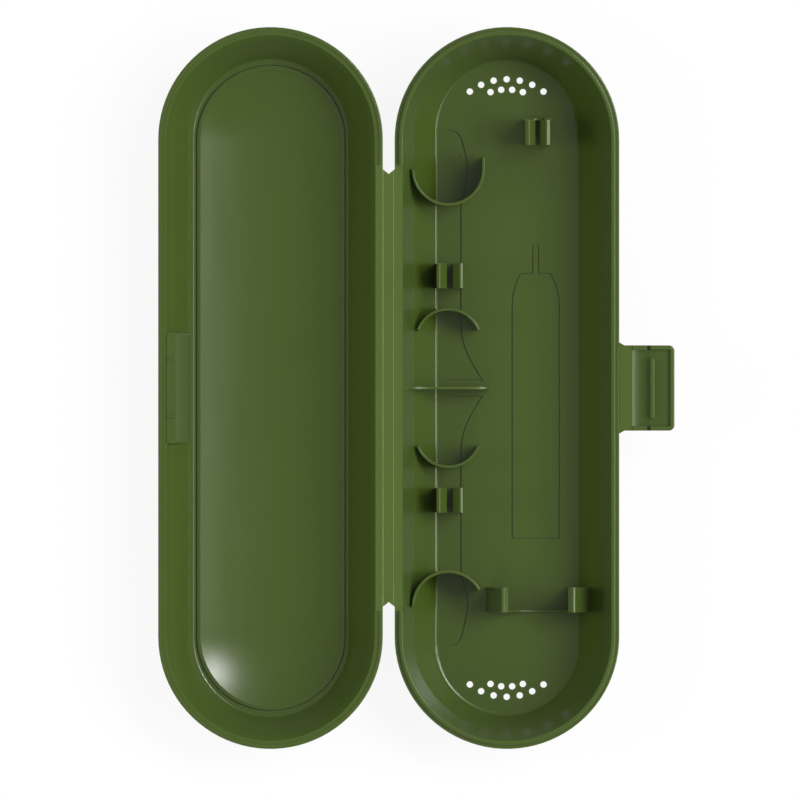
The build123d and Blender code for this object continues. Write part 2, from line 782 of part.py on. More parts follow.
# The domed panel: a shallow barrel with round ends, inside a flat border
with BuildPart() as lid_panel:
    with BuildSketch(Plane(origin=(lid_x, 0, 0), x_dir=(1, 0, 0), z_dir=(0, -1, 0))) as dome_half:
        with BuildLine():
            outer_sweep = asin(panel_width / 2 / panel_outer_radius)
            hollow_half_width = panel_width / 2 - panel_border_width
            hollow_sweep = asin(hollow_half_width / panel_inner_radius)
            outer_arc = ThreePointArc(
                (0, 0),
                (
                    panel_outer_radius * sin(outer_sweep / 2),
                    panel_centre_z - panel_outer_radius * cos(outer_sweep / 2),
                ),
                (panel_width / 2, panel_rise),
            )
            border = Polyline(
                outer_arc @ 1,
                (panel_width / 2, lid_floor_top),
                (hollow_half_width, lid_floor_top),
                (hollow_half_width, panel_centre_z - panel_inner_radius * cos(hollow_sweep)),
            )
            inner_arc = ThreePointArc(
                border @ 1,
                (
                    panel_inner_radius * sin(hollow_sweep / 2),
                    panel_centre_z - panel_inner_radius * cos(hollow_sweep / 2),
                ),
                (0, wall),
            )
            Line(inner_arc @ 1, (0, 0))
        make_face()
        mirror(about=Plane.YZ)
    extrude(amount=panel_straight / 2, both=True)
    for side in (1, -1):
        with BuildSketch(
            Plane(origin=(lid_x, side * panel_straight / 2, 0), x_dir=(1, 0, 0), z_dir=(0, -1, 0))
        ):
            add(dome_half.sketch_local)
            with Locations((-panel_width / 2, 0)):
                Rectangle(panel_width, panel_width, mode=Mode.SUBTRACT)
        revolve(
            axis=Axis((lid_x, side * panel_straight / 2, 0), (0, 0, side)),
            revolution_arc=180,
        )

save(lid_panel.part, "lid_panel")

# ---------------------------------------------------------------- latch catch on the lid

# Where the tab's rib lies when the latch is shut, turned back into the open lid's frame
rib_reach = catch_rib_x - latch_axis_x
rib_stand = rim_plane + catch_rib_height - latch_axis_z
shut_rib_z = (
    latch_axis_z
    + rib_reach * cos(radians(latch_lean))
    - rib_stand * sin(radians(latch_lean))
)
catch_edge_z = 2 * hinge_axis_z - shut_rib_z + catch_clearance

with BuildPart() as lid_catch:
    with BuildSketch(cross_section(0)):
        with BuildLine():
            Polyline(
                (lid_left_edge + catch_ledge_inset, catch_edge_z),
                (lid_left_edge + catch_ledge_inset + catch_thickness, catch_edge_z),
                (lid_left_edge + catch_ledge_inset + catch_thickness, rim_plane - rim_band),
                (lid_left_edge + catch_ledge_inset - catch_draft, rim_plane - rim_band),
                close=True,
            )
        make_face()
    extrude(amount=catch_ledge_length / 2, both=True)
    fillet(lid_catch.edges().filter_by(Axis.Y).group_by(Axis.Z)[0], catch_edge_radius)

save(lid_catch.part, "lid_catch")

with BuildPart() as lid_locating_ribs:
    with BuildSketch(level(rim_plane)):
        rib_inset = base_mouth_inset + locating_rib_clearance
        rib_run = pocket_ridge_inset - rib_inset
        with Locations((lid_left_edge + rib_inset + rib_run / 2, 0)):
            with GridLocations(1, locating_rib_spacing, 1, 2):
                Rectangle(rib_run, locating_rib_width)
    extrude(amount=locating_rib_height)
    fillet(edges_at(lid_locating_ribs, rim_plane + locating_rib_height), locating_rib_radius)

save(lid_locating_ribs.part, "lid_locating_ribs")

# ---------------------------------------------------------------- latch tab

with BuildPart() as latch_film:
    with BuildSketch(level(rim_plane)):
        with BuildLine(level(rim_plane, base_right_edge)):
            Polyline(
                (0, tab_width / 2 + latch_root_flare),
                (latch_root_length, tab_width / 2),
                (latch_film_length, tab_width / 2),
                (latch_film_length, -tab_width / 2),
                (latch_root_length, -tab_width / 2),
                (0, -tab_width / 2 - latch_root_flare),
                close=True,
            )
        make_face()
    extrude(amount=-latch_film_thickness)

save(latch_film.part, "latch_film")

trough_span = tab_notch_x + tab_notch_length - tab_start_x
trough_radius = ((trough_span / 2) ** 2 + tab_trough_depth**2) / (2 * tab_trough_depth)

with BuildPart() as latch_plate:
    with BuildSketch(level(rim_plane)):
        with Locations((tab_start_x, 0)):
            Rectangle(tab_length, tab_width, align=(Align.MIN, Align.CENTER))
    extrude(amount=-tab_thickness)
    fillet(latch_plate.edges().filter_by(Axis.Z).group_by(Axis.X)[-1], tab_corner_radius)
    fillet(edges_at(latch_plate, rim_plane - tab_thickness), tab_under_radius)
    # Shallow trough beside the rib, for a fingertip
    with BuildSketch(cross_section(0)):
        trough_z = rim_plane - tab_trough_depth + trough_radius
        with Locations((tab_start_x + trough_span / 2, trough_z)):
            Circle(trough_radius)
    extrude(amount=tab_width / 2 - tab_border_width, both=True, mode=Mode.SUBTRACT)
    # Nick in each side where the rails meet the boxed end
    with BuildSketch(level(rim_plane)):
        with Locations((tab_notch_x + tab_notch_length / 2, 0)):
            with GridLocations(1, tab_width - tab_border_width, 1, 2):
                Rectangle(tab_notch_length, tab_border_width)
    extrude(amount=-tab_notch_depth, mode=Mode.SUBTRACT)

save(latch_plate.part, "latch_plate")

with BuildPart() as latch_border:
    with BuildSketch(level(rim_plane)):
        with Locations((tab_box_x, 0)):
            Rectangle(tab_border_length, tab_width, align=(Align.MIN, Align.CENTER))
    extrude(amount=tab_border_height)
    fillet(latch_border.edges().filter_by(Axis.Z).group_by(Axis.X)[-1], tab_corner_radius)
    with BuildSketch(level(rim_plane)):
        with Locations((tab_box_x, 0)):
            Rectangle(
                tab_border_length - tab_border_width,
                tab_width - 2 * tab_border_width,
                align=(Align.MIN, Align.CENTER),
            )
    extrude(amount=tab_border_height, mode=Mode.SUBTRACT)
    fillet(edges_at(latch_border, rim_plane + tab_border_height), tab_border_radius)

save(latch_border.part, "latch_border")

with BuildPart() as latch_side_rails:
    with BuildSketch(level(rim_plane)):
        with Locations(((tab_start_x + tab_notch_x) / 2, 0)):
            with GridLocations(1, tab_width - tab_border_width, 1, 2):
                Rectangle(tab_notch_x - tab_start_x, tab_border_width)
    extrude(amount=tab_rail_height)
    fillet(edges_at(latch_side_rails, rim_plane + tab_rail_height), tab_rail_radius)

save(latch_side_rails.part, "latch_side_rails")

with BuildPart() as latch_catch_rib:
    with BuildSketch(level(rim_plane)):
        with Locations((catch_rib_x + catch_rib_width / 2, 0)):
            Rectangle(catch_rib_width, catch_rib_length)
    extrude(amount=catch_rib_height)
    fillet(edges_at(latch_catch_rib, rim_plane + catch_rib_height), catch_rib_radius)

save(latch_catch_rib.part, "latch_catch_rib")
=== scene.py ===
"""Looks of an open toothbrush travel case in glossy olive polypropylene.

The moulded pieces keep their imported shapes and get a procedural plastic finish.
The two folding webs are modelled here, because they bend when the case is shut.
Lengths are in metres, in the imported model's frame.
"""

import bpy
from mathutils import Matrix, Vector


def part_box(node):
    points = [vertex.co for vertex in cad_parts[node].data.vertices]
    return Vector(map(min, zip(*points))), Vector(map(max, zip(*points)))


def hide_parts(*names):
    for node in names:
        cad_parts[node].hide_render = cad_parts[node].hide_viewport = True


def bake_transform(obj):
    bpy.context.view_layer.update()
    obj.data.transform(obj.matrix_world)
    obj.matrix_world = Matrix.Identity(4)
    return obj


bl_info = {
    "name": "Travel Case Dresser",
    "version": (1, 0, 0),
    "blender": (4, 5, 0),
    "location": "View3D > Sidebar > Travel Case",
    "description": "Finishes an open toothbrush travel case and its small studio",
    "category": "Object",
}

import math

import bmesh
import bpy
from mathutils import Vector

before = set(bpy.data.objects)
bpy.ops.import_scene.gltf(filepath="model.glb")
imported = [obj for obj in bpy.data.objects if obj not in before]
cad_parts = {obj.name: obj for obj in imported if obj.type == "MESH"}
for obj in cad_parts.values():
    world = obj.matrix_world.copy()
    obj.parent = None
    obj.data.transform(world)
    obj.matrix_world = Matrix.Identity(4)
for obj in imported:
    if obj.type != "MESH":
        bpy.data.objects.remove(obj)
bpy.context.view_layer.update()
MM = 0.001

RIM_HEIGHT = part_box("base_shell")[1].z
FILM_LOW, FILM_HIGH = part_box("hinge_film")
ROOT_LOW, ROOT_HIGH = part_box("latch_film")

# Which plastic each imported node is moulded in; the latch plate's plastic is the body colour
# darkened as painted shade
FINISHES = {
    "olive_gloss": (
        "base_shell",
        "base_rim_lip",
        "lid_shell",
        "lid_panel",
        "lid_locating_ribs",
        "lid_catch",
        "brush_end_cradle_upper",
        "brush_end_cradle_lower",
        "brush_mid_cradle_upper",
        "brush_mid_cradle_lower",
        "brush_divider",
        "neck_saddle",
        "handle_saddle",
        "brush_clip_upper_left",
        "brush_clip_upper_right",
        "brush_clip_lower_left",
        "brush_clip_lower_right",
        "neck_clip_left",
        "neck_clip_right",
        "handle_clip_left",
        "handle_clip_right",
        "latch_border",
        "latch_side_rails",
        "latch_catch_rib",
    ),
    "olive_plate_painted_shade": ("latch_plate",),
    "olive_web": ("hinge_leaf_base", "hinge_leaf_lid"),
}

# Marks of moulding: noise scales per metre (the flow marks run along the case), each
# mark's share of the mottling and of the height, and the middle values of the noises
CLOUD_SCALE = 45.0
FLOW_STRETCH = (260.0, 30.0, 260.0)
PEEL_SCALE = 620.0
GRAIN_SCALE = 4200.0
CLOUD_SHARE = 0.6
FLOW_SHARE = 0.4
PEEL_SHARE = 0.7
GRAIN_SHARE = 0.3
NOISE_MIDDLE = 0.5
FLOW_MIDDLE = 0.45
PEEL_STRENGTH = 0.05
PEEL_DEPTH = 0.05 * MM

# Rubbed edges: how wide, how strong, how patchy, and what they do to the plastic
RUB_RADIUS = 0.45 * MM
RUB_GAIN = 5.0
RUB_PATCH_SCALE = 900.0
RUB_PATCH_GAIN = 1.6
RUB_LIGHTER = 1.35
RUB_PALER = 0.012
RUB_ROUGHER = 0.12
BODY_WEAR = 0.6
WEB_WEAR = 0.3

# Painted shade: grooves and inner corners are darkened in the colour, where ambient occlusion
# finds them closed in
PAINTED_SHADE_REACH = 0.9 * MM
PAINTED_SHADE_DEPTH = 0.5
PAINTED_SHADE_FACTOR = 0.45

# The latch tab's shades beside the body colour: the plate's is painted shade, the body colour
# darkened where less light falls on it; the root's blends in the web colour
PLATE_PAINTED_SHADE = 0.86
ROOT_WEB_SHARE = 0.45

# Ends of the folding webs
NOTCH_DEPTH = 1.5 * MM
ROOT_FLARE = 0.9 * MM
ROOT_FLARE_LENGTH = 1.6 * MM

# Glows in the sky: spread of each bell curve; the wash and the flag also have a place
KEY_CORE_SPREAD = math.radians(5)
KEY_HALO_SPREAD = math.radians(13)
WASH_ELEVATION = math.radians(37)
WASH_STRETCH = (1, 0.5, 1)
WASH_SPREAD = math.radians(9)
FLAG_AZIMUTH = math.radians(-4)
FLAG_ELEVATION = math.radians(55)
FLAG_SPREAD = math.radians(10)

# Round lamps that aren't mirrored in the gloss
LAMP_TARGET = Vector((-20 * MM, 0, 10 * MM))
LAMP_DISTANCE = 1.4
LAMP_SIZE = 0.55
RIGHT_LAMP_AZIMUTH = math.radians(3)
RIGHT_LAMP_ELEVATION = math.radians(47)
LOW_LAMP_ELEVATION = math.radians(32)

# Paper under the case, a hair below it, and the camera's sensor in millimetres
PAPER_REACH = 12.0
PAPER_DROP = 0.05 * MM
PAPER_GREY = 0.93
PAPER_GLOW_SHARE = 0.9
SENSOR_WIDTH = 36.0


# ---------------------------------------------------------------- settings


class CASE_PG_plastic(bpy.types.PropertyGroup):
    """Colour and surface of the moulded plastic."""

    body_colour: bpy.props.FloatVectorProperty(
        name="Body colour",
        description="Colour of the thick moulded walls",
        subtype="COLOR",
        size=3,
        min=0.0,
        max=1.0,
        default=(0.0555, 0.0930, 0.0108),
    )
    web_colour: bpy.props.FloatVectorProperty(
        name="Web colour",
        description="Colour of the thin folding webs, which let more light through",
        subtype="COLOR",
        size=3,
        min=0.0,
        max=1.0,
        default=(0.076, 0.120, 0.0160),
    )
    roughness: bpy.props.FloatProperty(
        name="Roughness",
        description="Roughness of the clean gloss surface",
        subtype="FACTOR",
        min=0.0,
        max=1.0,
        default=0.22,
    )
    haze: bpy.props.FloatProperty(
        name="Haze",
        description="Share of fine dust that pales the walls where they are seen edge on",
        subtype="FACTOR",
        min=0.0,
        max=1.0,
        default=0.05,
    )
    refraction: bpy.props.FloatProperty(
        name="Refractive index",
        description="Refractive index of the plastic, which sets how strongly it mirrors",
        min=1.0,
        max=2.0,
        default=1.5,
    )


class CASE_PG_web(bpy.types.PropertyGroup):
    """Strips and fold lines of the folding webs."""

    web_segments: bpy.props.IntProperty(
        name="Web segments",
        description="Strips across each folding web, so that it can bend",
        min=4,
        max=64,
        default=18,
    )
    fold_line_width: bpy.props.FloatProperty(
        name="Fold line width",
        description="Width of the thinned line along each edge of the web between the halves",
        subtype="DISTANCE",
        unit="LENGTH",
        default=0.35 * MM,
    )
    fold_line_depth: bpy.props.FloatProperty(
        name="Fold line depth",
        description="Depth of the thinned line along each edge of the web between the halves",
        subtype="DISTANCE",
        unit="LENGTH",
        default=0.09 * MM,
    )


class CASE_PG_stage(bpy.types.PropertyGroup):
    """Camera, glows in the sky and lamps."""

    frame_width: bpy.props.FloatProperty(
        name="Frame width",
        description="Width of what the camera sees at the rim plane",
        subtype="DISTANCE",
        unit="LENGTH",
        default=249.3 * MM,
    )
    lens: bpy.props.FloatProperty(
        name="Lens",
        description="Focal length in millimetres, long enough to look almost parallel",
        default=1000.0,
    )
    frame_centre: bpy.props.FloatVectorProperty(
        name="Frame centre",
        description="Point of the rim plane in the middle of the picture",
        subtype="TRANSLATION",
        unit="LENGTH",
        size=2,
        default=(-33.34 * MM, -3.74 * MM),
    )
    room_strength: bpy.props.FloatProperty(
        name="Room strength",
        description="Brightness of the even room light",
        default=0.355,
    )
    key_azimuth: bpy.props.FloatProperty(
        name="Key azimuth",
        description="Direction of the key glow, from +X towards +Y",
        subtype="ANGLE",
        default=math.radians(32.0),
    )
    key_elevation: bpy.props.FloatProperty(
        name="Key elevation",
        description="Height of the key glow above the horizon",
        subtype="ANGLE",
        default=math.radians(55.3),
    )
    core_strength: bpy.props.FloatProperty(
        name="Key core strength",
        description="Brightness of the middle of the soft round key glow",
        default=26.5,
    )
    halo_strength: bpy.props.FloatProperty(
        name="Key halo strength",
        description="Brightness of the wide faint edge of the key glow",
        default=1.3,
    )
    wash_strength: bpy.props.FloatProperty(
        name="Side wash strength",
        description="Brightness of the broad soft glow on the latch side",
        default=5.2,
    )
    flag_strength: bpy.props.FloatProperty(
        name="Flag strength",
        description="How much the flag beside the key glow dims what lies behind it",
        default=0.8,
    )
    glow_light: bpy.props.FloatProperty(
        name="Glow light",
        description="Share of the glows' light that reaches surfaces by scattering",
        subtype="FACTOR",
        min=0.0,
        max=1.0,
        default=0.6,
    )
    right_power: bpy.props.FloatProperty(
        name="Right power",
        description="Power of the lamp on the latch side",
        unit="POWER",
        default=6.4,
    )
    left_power: bpy.props.FloatProperty(
        name="Left power",
        description="Power of the weak lamp on the lid side",
        unit="POWER",
        default=4.2,
    )
    near_power: bpy.props.FloatProperty(
        name="Near power",
        description="Power of the weak lamp at the near end",
        unit="POWER",
        default=1.9,
    )


# ---------------------------------------------------------------- node helpers


def new_group(name, inputs, outputs):
    """A shader node group with named sockets, and its input and output nodes."""
    group = bpy.data.node_groups.new(name, "ShaderNodeTree")
    for socket, kind, default in inputs:
        item = group.interface.new_socket(name=socket, in_out="INPUT", socket_type=kind)
        item.default_value = default
    for socket, kind in outputs:
        group.interface.new_socket(name=socket, in_out="OUTPUT", socket_type=kind)
    entry = group.nodes.new("NodeGroupInput")
    leave = group.nodes.new("NodeGroupOutput")
    return group, entry, leave


def place_group(tree, name, **values):
    """A placed node group, with plain values on the inputs that are named."""
    node = tree.nodes.new("ShaderNodeGroup")
    node.node_tree = bpy.data.node_groups[name]
    for socket, value in values.items():
        node.inputs[socket].default_value = value
    return node


def math_node(tree, operation, a, b=None, clamp=False):
    """A Math node whose inputs are sockets or plain numbers."""
    node = tree.nodes.new("ShaderNodeMath")
    node.operation = operation
    node.use_clamp = clamp
    for index, value in enumerate((a, b)):
        if value is None:
            continue
        if isinstance(value, (int, float)):
            node.inputs[index].default_value = value
        else:
            tree.links.new(value, node.inputs[index])
    return node.outputs[0]


def total(tree, a, b, clamp=False):
    """The sum of two values."""
    return math_node(tree, "ADD", a, b, clamp)


def product(tree, a, b, clamp=False):
    """Two values multiplied."""
    return math_node(tree, "MULTIPLY", a, b, clamp)


def vector_node(tree, operation, a, b):
    """A Vector Math node on two linked vectors."""
    node = tree.nodes.new("ShaderNodeVectorMath")
    node.operation = operation
    tree.links.new(a, node.inputs[0])
    tree.links.new(b, node.inputs[1])
    return node


def noise_node(tree, vector, scale, detail, roughness=0.5):
    """A Noise texture's value on a vector."""
    node = tree.nodes.new("ShaderNodeTexNoise")
    node.inputs["Scale"].default_value = scale
    node.inputs["Detail"].default_value = detail
    node.inputs["Roughness"].default_value = roughness
    tree.links.new(vector, node.inputs["Vector"])
    return node.outputs["Fac"]


def stretched(tree, vector, scale):
    """The vector with each axis scaled by its own factor."""
    node = tree.nodes.new("ShaderNodeMapping")
    node.inputs["Scale"].default_value = scale
    tree.links.new(vector, node.inputs["Vector"])
    return node.outputs["Vector"]


def tinted(tree, mask, plain, tint):
    """A linked colour that turns to a fixed tint where the mask is one."""
    node = tree.nodes.new("ShaderNodeMix")
    node.data_type = "RGBA"
    node.inputs["B"].default_value = (*tint, 1.0)
    tree.links.new(mask, node.inputs["Factor"])
    tree.links.new(plain, node.inputs["A"])
    return node.outputs["Result"]


def two_shaders(tree, share, first, second):
    """The first shader, giving way to the second by the share."""
    mix = tree.nodes.new("ShaderNodeMixShader")
    tree.links.new(share, mix.inputs["Fac"])
    tree.links.new(first.outputs[0], mix.inputs[1])
    tree.links.new(second.outputs[0], mix.inputs[2])
    return mix.outputs[0]


# ---------------------------------------------------------------- plastic


def build_moulded_skin():
    """Faint flow marks, mottling and orange peel of injection-moulded plastic."""
    group, entry, leave = new_group(
        "moulded_skin",
        [
            ("Position", "NodeSocketVector", (0, 0, 0)),
            ("Colour", "NodeSocketColor", (0.5, 0.5, 0.5, 1)),
            ("Mottle", "NodeSocketFloat", 0.05),
            ("Roughness", "NodeSocketFloat", 0.15),
            ("Roughness change", "NodeSocketFloat", 0.05),
        ],
        [
            ("Colour", "NodeSocketColor"),
            ("Roughness", "NodeSocketFloat"),
            ("Height", "NodeSocketFloat"),
        ],
    )
    position = entry.outputs["Position"]
    change = entry.outputs["Roughness change"]
    cloud = noise_node(group, position, CLOUD_SCALE, detail=3.0)
    streaks = stretched(group, position, FLOW_STRETCH)
    flow = noise_node(group, streaks, 1.0, detail=4.0, roughness=0.6)
    peel = noise_node(group, position, PEEL_SCALE, detail=2.0)
    grain = noise_node(group, position, GRAIN_SCALE, detail=1.0)

    # Colour: clouds and flow marks make it a little lighter or darker
    mottle = total(
        group, product(group, cloud, CLOUD_SHARE), product(group, flow, FLOW_SHARE)
    )
    centred = math_node(group, "SUBTRACT", mottle, NOISE_MIDDLE)
    swing = product(group, centred, entry.outputs["Mottle"])
    level = total(group, product(group, swing, 2.0), 1.0)
    shade = group.nodes.new("ShaderNodeVectorMath")
    shade.operation = "SCALE"
    group.links.new(entry.outputs["Colour"], shade.inputs[0])
    group.links.new(level, shade.inputs["Scale"])
    group.links.new(shade.outputs["Vector"], leave.inputs["Colour"])

    # Roughness: smears along the flow, and fine dust
    smear = product(group, math_node(group, "SUBTRACT", flow, FLOW_MIDDLE), change)
    speck = math_node(group, "SUBTRACT", grain, NOISE_MIDDLE)
    dust = product(group, speck, product(group, change, 0.5))
    added = total(group, product(group, smear, 2.0), dust)
    rough = total(group, entry.outputs["Roughness"], added, clamp=True)
    group.links.new(rough, leave.inputs["Roughness"])

    # Height: orange peel with a little grain
    height = total(
        group, product(group, peel, PEEL_SHARE), product(group, grain, GRAIN_SHARE)
    )
    group.links.new(height, leave.inputs["Height"])


def build_edge_wear():
    """A mask of rubbed edges: one where a softened normal leaves the face's own."""
    group, entry, leave = new_group(
        "edge_wear",
        [
            ("Position", "NodeSocketVector", (0, 0, 0)),
            ("Amount", "NodeSocketFloat", 0.5),
        ],
        [("Mask", "NodeSocketFloat")],
    )
    soft = group.nodes.new("ShaderNodeBevel")
    soft.samples = 4
    soft.inputs["Radius"].default_value = RUB_RADIUS
    geometry = group.nodes.new("ShaderNodeNewGeometry")
    likeness = vector_node(
        group, "DOT_PRODUCT", soft.outputs["Normal"], geometry.outputs["Normal"]
    )
    bend = math_node(group, "SUBTRACT", 1.0, likeness.outputs["Value"])
    patches = noise_node(
        group, entry.outputs["Position"], RUB_PATCH_SCALE, detail=3.0, roughness=0.6
    )
    worn = product(
        group, product(group, bend, RUB_GAIN), product(group, patches, RUB_PATCH_GAIN)
    )
    mask = product(group, worn, entry.outputs["Amount"], clamp=True)
    group.links.new(mask, leave.inputs["Mask"])


def build_painted_crevice_shade():
    """A mask of painted shade for narrow grooves and corners, where little light gets in."""
    group, entry, leave = new_group(
        "painted_crevice_shade",
        [("Depth", "NodeSocketFloat", 1.0)],
        [("Mask", "NodeSocketFloat")],
    )
    hidden = group.nodes.new("ShaderNodeAmbientOcclusion")
    hidden.samples = 8
    hidden.only_local = True
    hidden.inputs["Distance"].default_value = PAINTED_SHADE_REACH
    closed = math_node(group, "SUBTRACT", 1.0, hidden.outputs["AO"])
    mask = product(group, closed, entry.outputs["Depth"], clamp=True)
    group.links.new(mask, leave.inputs["Mask"])


def build_plastic(name, colour, settings, wear):
    """One glossy moulded plastic, with painted shade darkening its grooves and corners."""
    material = bpy.data.materials.new(name)
    material.use_nodes = True
    tree = material.node_tree
    shader = tree.nodes["Principled BSDF"]
    shader.inputs["IOR"].default_value = settings.refraction
    shader.inputs["Sheen Weight"].default_value = settings.haze

    place = tree.nodes.new("ShaderNodeTexCoord")
    skin = place_group(
        tree, "moulded_skin", Colour=(*colour, 1.0), Roughness=settings.roughness
    )
    tree.links.new(place.outputs["Object"], skin.inputs["Position"])
    edge = place_group(tree, "edge_wear", Amount=wear)
    tree.links.new(place.outputs["Object"], edge.inputs["Position"])
    painted_crevice_shade = place_group(tree, "painted_crevice_shade", Depth=PAINTED_SHADE_DEPTH)

    rubbed = [min(1.0, RUB_LIGHTER * c + RUB_PALER) for c in colour]
    # Painted shade: grooves and corners found by the occlusion mask darken to this colour
    painted_shade_colour = [PAINTED_SHADE_FACTOR * c for c in colour]
    worn = tinted(tree, edge.outputs["Mask"], skin.outputs["Colour"], rubbed)
    tree.links.new(
        tinted(tree, painted_crevice_shade.outputs["Mask"], worn, painted_shade_colour), shader.inputs["Base Color"]
    )

    scuffs = product(tree, edge.outputs["Mask"], RUB_ROUGHER)
    dulled = total(tree, skin.outputs["Roughness"], scuffs, clamp=True)
    tree.links.new(dulled, shader.inputs["Roughness"])

    bump = tree.nodes.new("ShaderNodeBump")
    bump.inputs["Strength"].default_value = PEEL_STRENGTH
    bump.inputs["Distance"].default_value = PEEL_DEPTH
    tree.links.new(skin.outputs["Height"], bump.inputs["Height"])
    tree.links.new(bump.outputs["Normal"], shader.inputs["Normal"])


def dress(piece, material):
    """Give a piece one material, by name, in place of what it came with."""
    piece.data.materials.clear()
    piece.data.materials.append(bpy.data.materials[material])


class CASE_OT_plastics(bpy.types.Operator):
    """Build the plastics that the case is moulded in, and for the latch plate the body plastic
    darkened with painted shade
    """

    bl_idname = "case.plastics"
    bl_label = "Plastics"

    def execute(self, context):
        settings = context.scene.case_plastic
        build_moulded_skin()
        build_edge_wear()
        build_painted_crevice_shade()
        body = Vector(settings.body_colour)
        web = Vector(settings.web_colour)
        build_plastic("olive_gloss", body, settings, BODY_WEAR)
        build_plastic("olive_web", web, settings, WEB_WEAR)
        build_plastic("olive_root", body.lerp(web, ROOT_WEB_SHARE), settings, WEB_WEAR)
        # Painted shade: the latch plate's plastic is the body colour darkened
        build_plastic("olive_plate_painted_shade", PLATE_PAINTED_SHADE * body, settings, BODY_WEAR)
        return {"FINISHED"}


class CASE_OT_moulded_pieces(bpy.types.Operator):
    """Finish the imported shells, cradles, clips, hinge leaves and latch tab"""

    bl_idname = "case.moulded_pieces"
    bl_label = "Moulded pieces"

    def execute(self, context):
        for material, names in FINISHES.items():
            for name in names:
                dress(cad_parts[name], material)
        return {"FINISHED"}


# ---------------------------------------------------------------- folding webs


def stations_across(low, high, count):
    """Places across X from the low corner to the high one, evenly spaced."""
    return [low.x + (high.x - low.x) * i / count for i in range(count + 1)]


def strip_mesh(name, stations, half_length, bottom, top):
    """A thin strip of columns across X; its half length and its top follow functions of X."""
    mesh = bmesh.new()
    rings = []
    for x in stations:
        reach = half_length(x)
        height = top(x)
        column = [
            mesh.verts.new((x, -reach, bottom)),
            mesh.verts.new((x, reach, bottom)),
            mesh.verts.new((x, reach, height)),
            mesh.verts.new((x, -reach, height)),
        ]
        rings.append([mesh.edges.new((column[i], column[(i + 1) % 4])) for i in range(4)])
    for here, there in zip(rings, rings[1:]):
        bmesh.ops.bridge_loops(mesh, edges=here + there)
    for ring in (rings[0], rings[-1]):
        bmesh.ops.contextual_create(mesh, geom=ring)
    bmesh.ops.recalc_face_normals(mesh, faces=mesh.faces)
    data = bpy.data.meshes.new(name)
    mesh.to_mesh(data)
    mesh.free()
    piece = bpy.data.objects.new(name, data)
    bpy.context.scene.collection.objects.link(piece)
    return piece


def build_hinge_web(settings):
    """The web between the halves: a V-notch in each end and a thinned line along each side."""
    low, high = FILM_LOW, FILM_HIGH
    middle = (low.x + high.x) / 2
    half_gap = (high.x - low.x) / 2
    half_fold = settings.fold_line_width / 2
    folds = (low.x + half_fold, high.x - half_fold)

    def half_length(x):
        return high.y - NOTCH_DEPTH * (1.0 - abs(x - middle) / half_gap)

    def top(x):
        nearest = min(abs(x - fold) for fold in folds)
        return high.z - settings.fold_line_depth * max(0.0, 1.0 - nearest / half_fold)

    stations = sorted([*stations_across(low, high, settings.web_segments), *folds])
    web = strip_mesh("hinge_web", stations, half_length, low.z, top)
    dress(web, "olive_web")
    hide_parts("hinge_film")
    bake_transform(web)


def build_latch_root(settings):
    """The latch tab's folding root, flared where it leaves the rim."""
    low, high = ROOT_LOW, ROOT_HIGH

    def half_length(x):
        share = max(0.0, 1.0 - (x - low.x) / ROOT_FLARE_LENGTH)
        return high.y - ROOT_FLARE + ROOT_FLARE * share

    def top(x):
        return high.z

    stations = stations_across(low, high, settings.web_segments)
    root = strip_mesh("latch_root", stations, half_length, low.z, top)
    dress(root, "olive_root")
    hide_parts("latch_film")
    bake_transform(root)


class CASE_OT_folding_webs(bpy.types.Operator):
    """Model the web between the halves and the latch tab's folding root"""

    bl_idname = "case.folding_webs"
    bl_label = "Folding webs"

    def execute(self, context):
        settings = context.scene.case_web
        build_hinge_web(settings)
        build_latch_root(settings)
        return {"FINISHED"}


# ---------------------------------------------------------------- stage


def direction(azimuth, elevation):
    """Unit vector towards a light; azimuth runs from +X towards +Y, in radians."""
    return Vector((
        math.cos(azimuth) * math.cos(elevation),
        math.sin(azimuth) * math.cos(elevation),
        math.sin(elevation),
    ))


def build_soft_glow():
    """Brightness of a soft round glow in the sky: a bell curve about one direction."""
    group, entry, leave = new_group(
        "soft_glow",
        [
            ("Direction", "NodeSocketVector", (0, 0, 1)),
            ("Centre", "NodeSocketVector", (0, 0, 1)),
            ("Stretch", "NodeSocketVector", (1, 1, 1)),
            ("Spread", "NodeSocketFloat", 0.03),
            ("Strength", "NodeSocketFloat", 1.0),
        ],
        [("Brightness", "NodeSocketFloat")],
    )
    squeezed = vector_node(
        group, "MULTIPLY", entry.outputs["Direction"], entry.outputs["Stretch"]
    )
    unit = group.nodes.new("ShaderNodeVectorMath")
    unit.operation = "NORMALIZE"
    group.links.new(squeezed.outputs["Vector"], unit.inputs[0])
    likeness = vector_node(
        group, "DOT_PRODUCT", unit.outputs["Vector"], entry.outputs["Centre"]
    )
    away = math_node(group, "SUBTRACT", likeness.outputs["Value"], 1.0)
    share = math_node(group, "DIVIDE", away, entry.outputs["Spread"])
    bell = math_node(group, "EXPONENT", share)
    brightness = product(group, bell, entry.outputs["Strength"])
    group.links.new(brightness, leave.inputs["Brightness"])


def glow(tree, sky, toward, spread, strength, stretch=(1, 1, 1)):
    """One soft glow; `spread` is its standard deviation in radians."""
    node = place_group(
        tree, "soft_glow", Centre=toward, Stretch=stretch, Spread=spread**2, Strength=strength
    )
    tree.links.new(sky, node.inputs["Direction"])
    return node.outputs["Brightness"]


